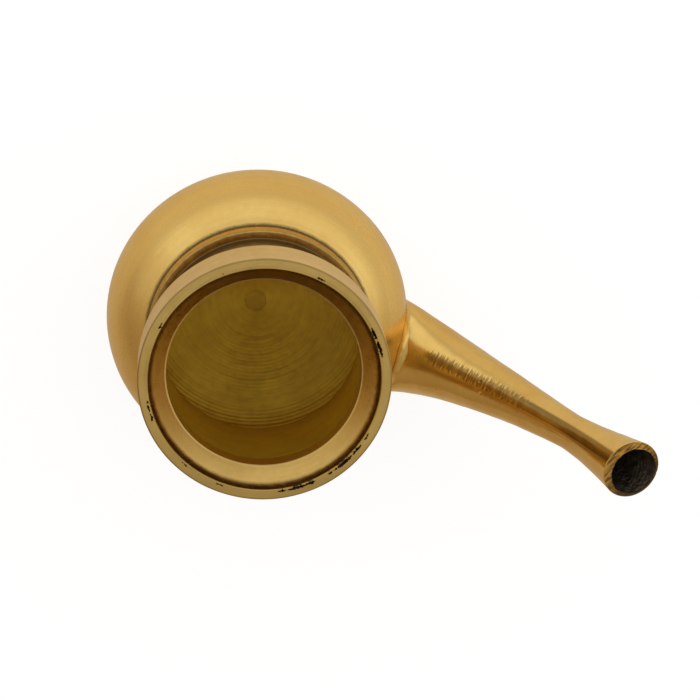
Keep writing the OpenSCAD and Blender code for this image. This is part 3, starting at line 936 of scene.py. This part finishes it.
def spout_half(name, s, look, node):
    """One cast half of the spout, s = 1 on the +Y side. Its outside, rounded tip edge,
    filed tip face, bore and belly face are one closed skin."""
    outer = tube_rows(lambda t: half_outside(t, s), ROWS, ROOT_FLARE)
    inner = tube_rows(lambda t: half_inside(t, s), ROWS)
    # Push the outside by its relief, along the section's own outward direction
    middle = (outer[:, :1] + outer[:, -1:]) / 2
    step = np.linalg.norm(np.diff(middle[:, 0], axis=0), axis=1)
    length = np.concatenate([[0], np.cumsum(step)])[:, None] + np.zeros(outer.shape[1])
    angle = s * math.pi * np.concatenate([[0], COLUMNS, [1]])[None, :] + np.zeros(length.shape)
    lift = spout_relief(outer, length, angle) * ramp(length, 0, 3)
    lift[:, [0, -1]] = 0
    outer = outer + unit(outer - middle) * lift[..., None]
    # How dark the strip beside the seam is painted: file strokes, and a painted reflection of the
    # shaded neck
    strokes_and_reflection = strokes_and_reflection_strip(length, angle, np.linalg.norm(outer - middle, axis=-1))
    # The bore has rough cast lumps of three sizes towards the tip
    inward = unit((inner[:, :1] + inner[:, -1:]) / 2 - inner)
    rough = 0.13 * waves(inner, 3.2, 61, 9) + 0.08 * waves(inner, 1.2, 62, 12)
    rough += 0.04 * waves(inner, 0.7, 63, 12)
    end = length.max()
    inner = inner + inward * (rough * ramp(length, end - 40, end - 20))[..., None]

    grid = np.array(list(outer[:-1]) + tip_rows(outer[-1], inner[-1]) + list(inner[::-1]))
    m, n = grid.shape[:2]
    faces = half_faces(m, n, len(outer))
    if s < 0:
        faces = [f[::-1] for f in faces]
    # Materials by row: cast outside, filed face, then the bore; the rest is cast
    row_look = np.zeros(m - 1, int)
    row_look[len(outer) + 1:] = 1
    row_look[len(outer) + 2 + TIP_STEPS:] = 2
    which = list(np.repeat(row_look, n - 1))
    which += [0] * (len(faces) - len(which))
    stroke_and_reflection_values = np.zeros((m, n))
    stroke_and_reflection_values[:len(outer)] = strokes_and_reflection
    make_object(name, grid.reshape(-1, 3), faces, look, which, node, 50,
                stroke_and_reflection_values.ravel())


def make_seam(name, d, material, node):
    """The braze strip in the groove along the top (d = 1) or bottom (d = -1) seam."""
    def ring(t):
        w, h = half_w(t), half_h(t)
        e = np.arcsin(SEAM_W / w)
        shares = np.array([1, 0.92, 0.5, 0, -0.5, -0.92, -1])
        turn = e[:, None] * shares
        side = np.concatenate([0 * t[:, None], w[:, None] * np.sin(turn)], 1)
        up = np.concatenate([h[:, None] - seam_depth(t)[:, None], h[:, None] * np.cos(turn)], 1)
        up = d * up
        return section_point(t[:, None], side, up)

    rows = ring(np.linspace(0.24, 0.985, 400))
    lift = 0.07 * waves(rows, 17, 41) + 0.03 * waves(rows, 7, 42)
    away = rows[:, 4:5] - rows[:, :1]
    rows = rows + away / np.linalg.norm(away, axis=-1, keepdims=True) * lift[..., None]
    m, n = rows.shape[:2]
    faces = [(i * n + j, i * n + (j + 1) % n, (i + 1) * n + (j + 1) % n, (i + 1) * n + j)
             for i in range(m - 1) for j in range(n)]
    faces += [tuple(range(n))[::-1], tuple(range((m - 1) * n, m * n))]
    if d < 0:
        faces = [f[::-1] for f in faces]
    make_object(name, rows.reshape(-1, 3), faces, [material], [0] * len(faces), node)


def make_root_braze(material):
    """The hollow fillet of braze round the spout's root."""
    turns, steps, under = 192, 14, 4
    rings = []
    for k in range(turns):
        a = 2 * math.pi * k / turns
        wobble = 1 + 0.1 * math.sin(3 * a + 1) + 0.07 * math.sin(7 * a) + 0.05 * math.sin(13 * a)
        reach = SHOWN_REACH * (0.75 + 0.25 * math.cos(a)) * wobble
        w, h = float(half_w(BELLY_T)), float(half_h(BELLY_T))
        line = tube_rows(lambda t: outer_point(t, np.full(t.shape, a))[:, None], 300,
                         ROOT_FLARE)[:90, 0]
        corner = line[0]
        run = np.concatenate([[0], np.cumsum(np.linalg.norm(np.diff(line, axis=0), axis=1))])
        along = [np.array([np.interp(reach * i / under, run, line[:, c]) for c in range(3)])
                 for i in range(1, under + 1)]
        spread = reach + ROOT_FLARE
        end = on_belly(section_point(np.array(BELLY_T), (w + spread) * math.sin(a),
                                     (h + spread) * math.cos(a)))
        last = along[-1]
        mid = 0.5 * corner + 0.25 * (end + last)
        curve = [(1 - u) ** 2 * last + 2 * u * (1 - u) * mid + u * u * end
                 for u in np.linspace(0, 1, steps + 1)[1:-1]]
        rings.append([corner] + along + curve + [end])
    grid = np.array(rings)
    m, n = grid.shape[:2]
    bumpy = 0.05 * waves(grid, 4, 81) + 0.03 * waves(grid, 1.6, 82)
    out = grid - grid[:, :1]
    out /= np.maximum(np.linalg.norm(out, axis=-1, keepdims=True), 1e-6)
    shown = np.zeros(n)
    shown[under + 2:-1] = 1
    grid = grid + out * (bumpy * shown)[..., None]
    faces = [(((i + 1) % m) * n + j, ((i + 1) % m) * n + (j + 1) % n, i * n + (j + 1) % n, i * n + j)
             for i in range(m) for j in range(n)]
    make_object("spout_root_fillet", grid.reshape(-1, 3), faces, [material],
                [0] * len(faces), "spout_root_braze", 60)


# ---------- the scene ----------

make_camera()
make_floor()
make_sky()
looks = make_looks()
make_body(looks)
make_neck(looks)
make_rim(looks)
spout_look = [looks["cast"], looks["filed"], looks["bore"]]
spout_half("spout_left_cast", 1, spout_look, "spout_left")
spout_half("spout_right_cast", -1, spout_look, "spout_right")
make_seam("spout_top_braze", 1, looks["cast"], "spout_seam_top")
make_seam("spout_bottom_braze", -1, looks["cast"], "spout_seam_bottom")
make_root_braze(looks["braze"])
bpy.context.scene.view_settings.view_transform = "Standard"
